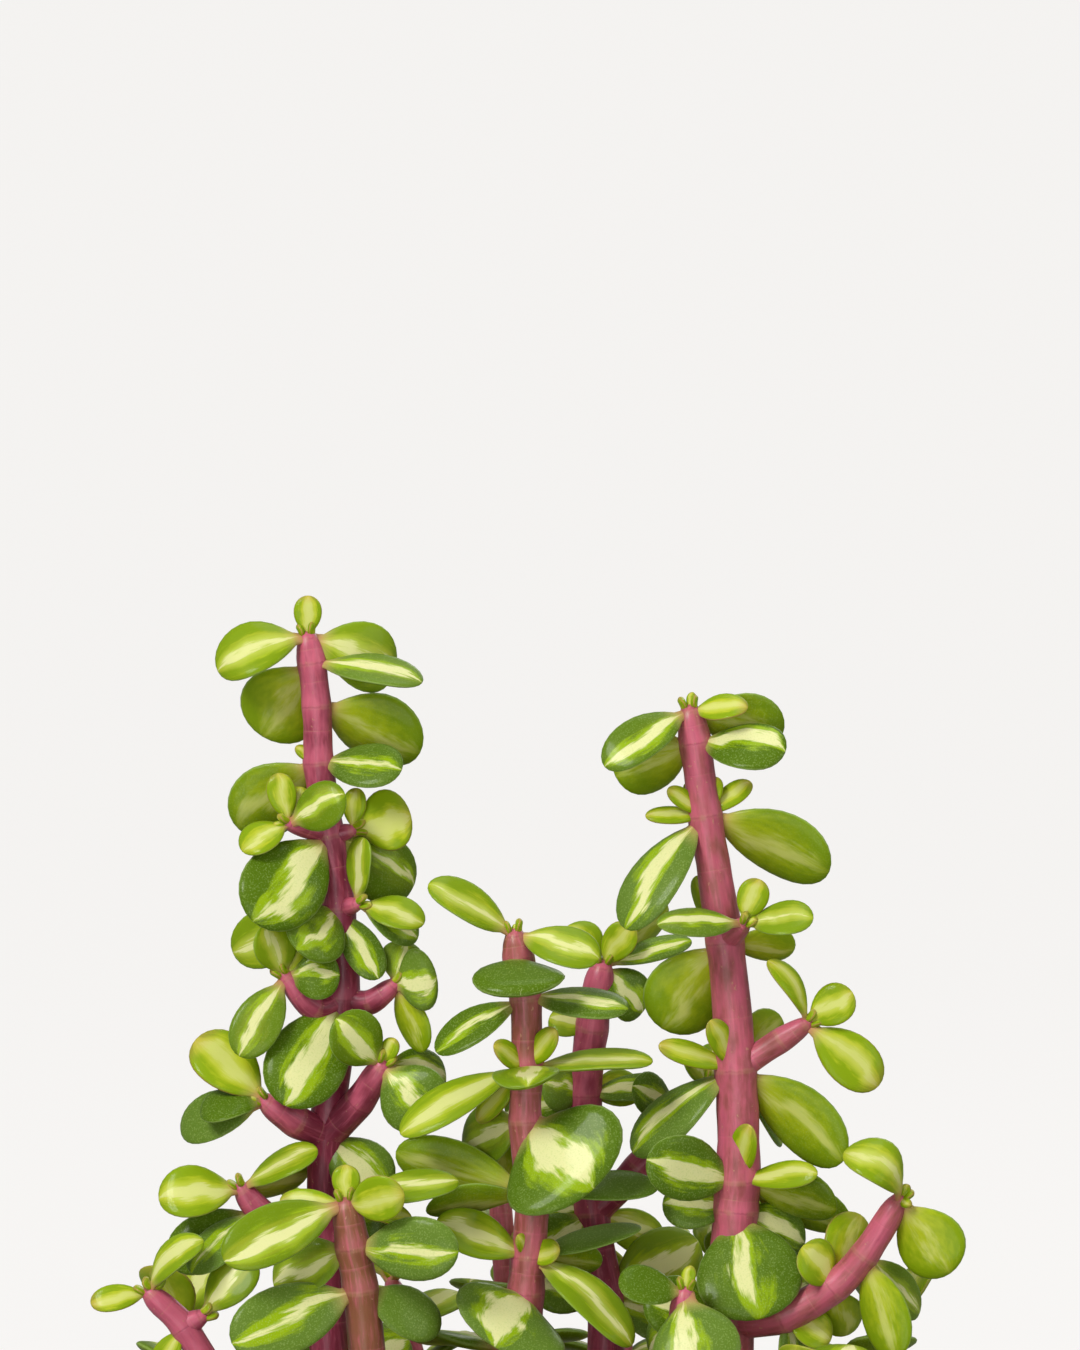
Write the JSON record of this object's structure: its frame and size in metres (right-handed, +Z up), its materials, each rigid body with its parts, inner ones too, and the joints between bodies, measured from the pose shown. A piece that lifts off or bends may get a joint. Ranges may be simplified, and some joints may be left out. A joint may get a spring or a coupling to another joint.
{
  "type": "potted elephant bush",
  "caption": "Variegated elephant bush: upright fleshy stems with side shoots and pairs of round thick leaves, growing in a plain round pot of soil.",
  "frame": {"origin": "middle of the pot's underside", "axes": "+Z up, -Y to the front, the side the picture shows, +X to the right as seen from the front"},
  "size_m": [0.1297, 0.1197, 0.2264],
  "materials": {
    "pot": "matte",
    "soil": "matte",
    "left_tall_plant": "satin",
    "left_front_plant": "satin",
    "left_low_plant": "satin",
    "centre_plant": "satin",
    "centre_back_plant": "satin",
    "right_tall_plant": "satin",
    "right_front_plant": "satin",
    "back_left_plant": "satin",
    "back_middle_plant": "satin",
    "back_right_plant": "satin",
    "back_far_left_plant": "satin",
    "back_far_right_plant": "satin",
    "side_left_plant": "satin",
    "side_right_plant": "satin",
    "front_left_plant": "satin",
    "front_right_plant": "satin",
    "front_far_right_plant": "satin"
  },
  "bodies": {
    "root": {"pot": "pot", "soil": "soil", "left_tall": "left_tall_plant", "left_front": "left_front_plant", "left_low": "left_low_plant", "centre": "centre_plant", "centre_back": "centre_back_plant", "right_tall": "right_tall_plant", "right_front": "right_front_plant", "back_left": "back_left_plant", "back_middle": "back_middle_plant", "back_right": "back_right_plant", "back_far_left": "back_far_left_plant", "back_far_right": "back_far_right_plant", "side_left": "side_left_plant", "side_right": "side_right_plant", "front_left": "front_left_plant", "front_right": "front_right_plant", "front_far_right": "front_far_right_plant"}
  },
  "joints": []
}
